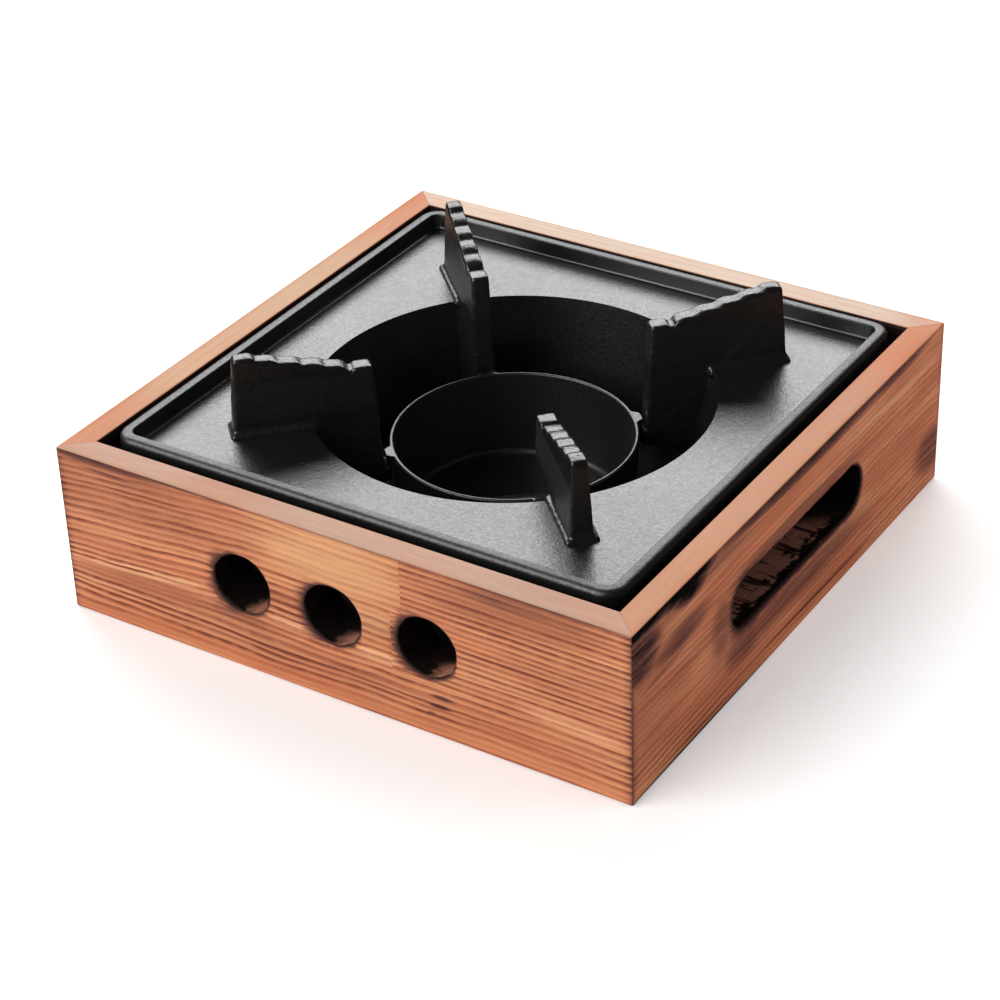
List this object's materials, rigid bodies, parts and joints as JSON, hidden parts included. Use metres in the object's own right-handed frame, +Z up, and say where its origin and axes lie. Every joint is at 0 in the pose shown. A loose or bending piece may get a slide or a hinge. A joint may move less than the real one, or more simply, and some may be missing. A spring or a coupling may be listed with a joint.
{
  "type": "warming stove",
  "caption": "Square tabletop warming stove: a charred cedar box with vent holes and hand slots, holding a cast-iron tray with stepped pot ribs and a hanging fuel cup",
  "frame": {"origin": "on the ground, under the middle of the box", "axes": "+Z up; -Y out of the front board with its vent holes; +X out of the right board with its hand slot"},
  "size_m": [0.19, 0.19, 0.0763],
  "materials": {
    "cedar": "brushed and scorched",
    "plain_wood": "planed",
    "block_wood": "sawn",
    "zinc": "zinc plated",
    "iron": "satin black coating",
    "black_steel": "satin black coating"
  },
  "bodies": {
    "box": {"front_board": "cedar", "right_board": "cedar", "back_board": "cedar", "left_board": "cedar", "bottom_board": "plain_wood", "corner_block_front_left": "block_wood", "corner_block_front_right": "block_wood", "corner_block_back_right": "block_wood", "corner_block_back_left": "block_wood", "bottom_screw_front_left": "zinc", "bottom_screw_front_right": "zinc", "bottom_screw_back_right": "zinc", "bottom_screw_back_left": "zinc"},
    "tray": {"iron_tray": "iron"},
    "cup": {"fuel_cup": "black_steel"}
  },
  "joints": [
    {"name": "tray_lift", "type": "slide", "parent": "box", "child": "tray", "axis": [0, 0, 1], "range_m": [0, 0.06]},
    {"name": "cup_lift", "type": "slide", "parent": "tray", "child": "cup", "axis": [0, 0, 1], "range_m": [0, 0.08]}
  ]
}
